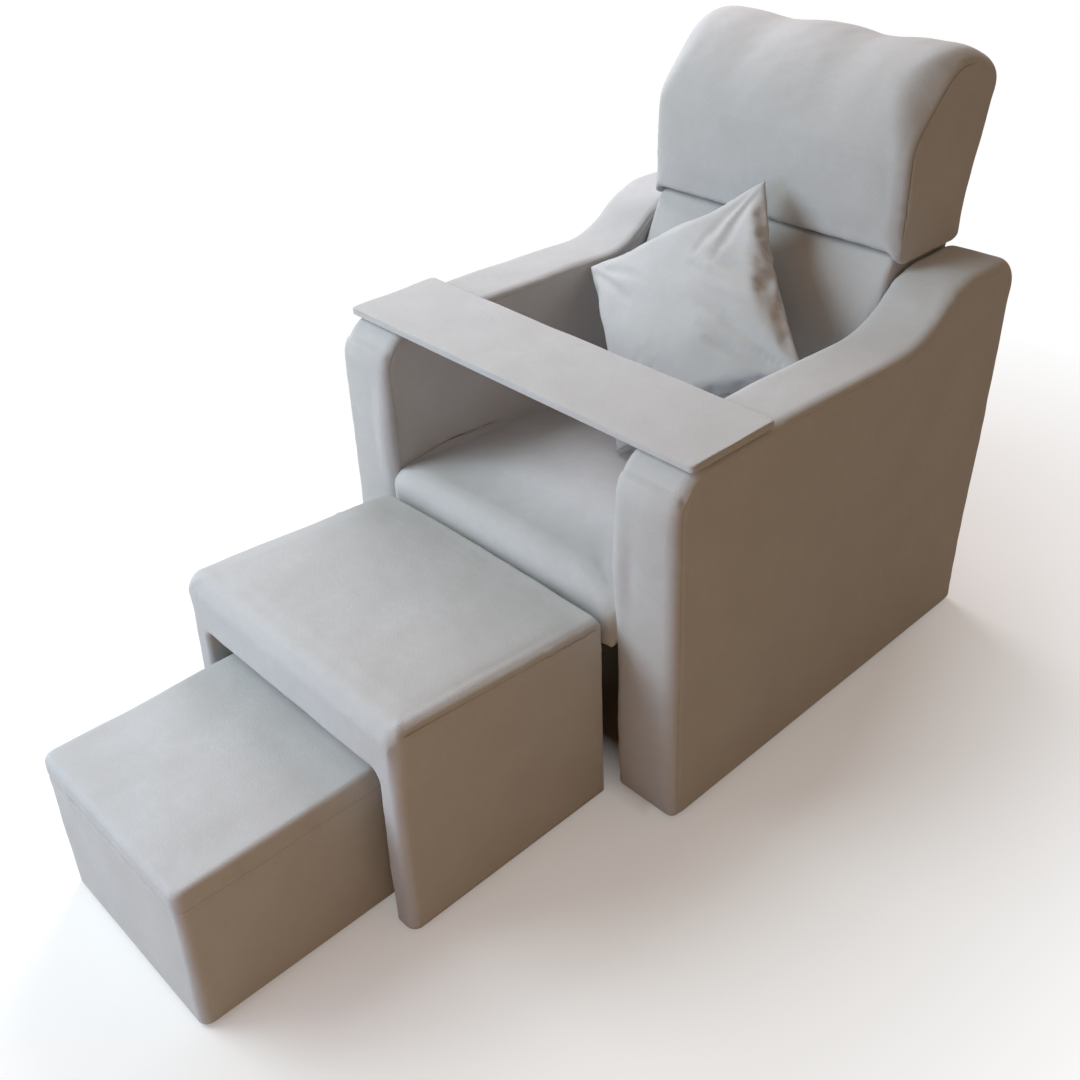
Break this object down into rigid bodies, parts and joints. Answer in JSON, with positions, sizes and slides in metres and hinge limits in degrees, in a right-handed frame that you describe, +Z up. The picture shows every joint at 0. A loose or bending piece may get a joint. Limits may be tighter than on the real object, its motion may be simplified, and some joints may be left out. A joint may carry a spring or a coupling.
{
  "type": "pedicure spa chair",
  "caption": "Upholstered foot-spa armchair with a reclining back, tray board across the arms, throw pillow, arched footrest ottoman and a stool that slides under it.",
  "frame": {"origin": "on the floor, under the middle of the whole set's length and width", "axes": "+Z up; the sitter faces -Y; +X is the sitter's left"},
  "size_m": [0.8, 1.7051, 1.0652],
  "materials": {
    "grey_velvet": "matte",
    "plywood": "sanded",
    "solid_pine": "sanded",
    "zinc_steel": "satin",
    "spring_steel": "oiled",
    "grey_felt": "matte",
    "black_cloth": "matte",
    "black_webbing": "matte",
    "black_plastic": "matte"
  },
  "bodies": {
    "chair_base": {"left_arm_band": "grey_velvet", "right_arm_band": "grey_velvet", "left_arm_outer_cover": "grey_velvet", "right_arm_outer_cover": "grey_velvet", "left_arm_inner_cover": "grey_velvet", "right_arm_inner_cover": "grey_velvet", "seat_cushion": "grey_velvet", "rear_skirt": "grey_velvet", "left_arm_outer_panel": "plywood", "right_arm_outer_panel": "plywood", "left_arm_inner_panel": "plywood", "right_arm_inner_panel": "plywood", "arm_posts": "solid_pine", "seat_front_rail": "solid_pine", "seat_rear_rail": "solid_pine", "left_seat_side_rail": "solid_pine", "right_seat_side_rail": "solid_pine", "seat_corner_blocks": "solid_pine", "rear_stretchers": "solid_pine", "frame_bolts": "zinc_steel", "spring_clips": "zinc_steel", "left_hinge_base_plate": "zinc_steel", "right_hinge_base_plate": "zinc_steel", "hinge_pins": "zinc_steel", "rail_screws": "zinc_steel", "seat_springs": "spring_steel", "left_pawl_spring": "spring_steel", "right_pawl_spring": "spring_steel", "spring_felt": "grey_felt", "seat_dust_cover": "black_cloth", "chair_glides": "black_plastic"},
    "backrest": {"left_back_side_board": "plywood", "right_back_side_board": "plywood", "back_rails": "solid_pine", "back_webbing": "black_webbing", "lumbar_pad": "grey_velvet", "head_pad": "grey_velvet", "back_rear_cover": "grey_velvet", "left_hinge_sector": "zinc_steel", "right_hinge_sector": "zinc_steel", "side_board_screws": "zinc_steel"},
    "left_pawl": {"left_hinge_pawl": "zinc_steel"},
    "right_pawl": {"right_hinge_pawl": "zinc_steel"},
    "ottoman": {"ottoman_boards": "plywood", "ottoman_top_board": "plywood", "ottoman_top_pad": "grey_velvet", "left_ottoman_side_pad": "grey_velvet", "right_ottoman_side_pad": "grey_velvet", "ottoman_lining": "grey_velvet", "ottoman_rear_cover": "grey_velvet", "ottoman_glides": "black_plastic"},
    "stool": {"stool_box": "plywood", "stool_top_board": "plywood", "stool_top_pad": "grey_velvet", "stool_wrap": "grey_velvet", "stool_bottom_sheet": "black_cloth", "stool_glides": "black_plastic"},
    "tray": {"tray_board": "plywood", "tray_cover": "grey_velvet"},
    "pillow": {"throw_pillow": "grey_velvet"}
  },
  "joints": [
    {"name": "recline", "type": "hinge", "parent": "chair_base", "child": "backrest", "pos_m": [0, 0.54476, 0.35], "axis": [-1, 0, 0], "range_deg": [0, 54]},
    {"name": "left_pawl_release", "type": "hinge", "parent": "chair_base", "child": "left_pawl", "pos_m": [0.241, 0.49676, 0.316], "axis": [-1, 0, 0], "range_deg": [0, 12], "stiffness_Nm_per_rad": 1, "springref_deg": -11.46, "deforming": ["left_pawl_spring"]},
    {"name": "right_pawl_release", "type": "hinge", "parent": "chair_base", "child": "right_pawl", "pos_m": [-0.241, 0.49676, 0.316], "axis": [-1, 0, 0], "range_deg": [0, 12], "stiffness_Nm_per_rad": 1, "springref_deg": -11.46, "deforming": ["right_pawl_spring"]},
    {"name": "ottoman_slide", "type": "slide", "parent": "chair_base", "child": "ottoman", "axis": [0, -1, 0], "range_m": [0, 0.5]},
    {"name": "stool_slide", "type": "slide", "parent": "ottoman", "child": "stool", "axis": [0, 1, 0], "range_m": [-0.25, 0.34]},
    {"name": "tray_lift", "type": "slide", "parent": "chair_base", "child": "tray", "axis": [0, 0, 1], "range_m": [0, 0.3]},
    {"name": "pillow_lift", "type": "slide", "parent": "chair_base", "child": "pillow", "axis": [0, 0, 1], "range_m": [0, 0.4]}
  ]
}
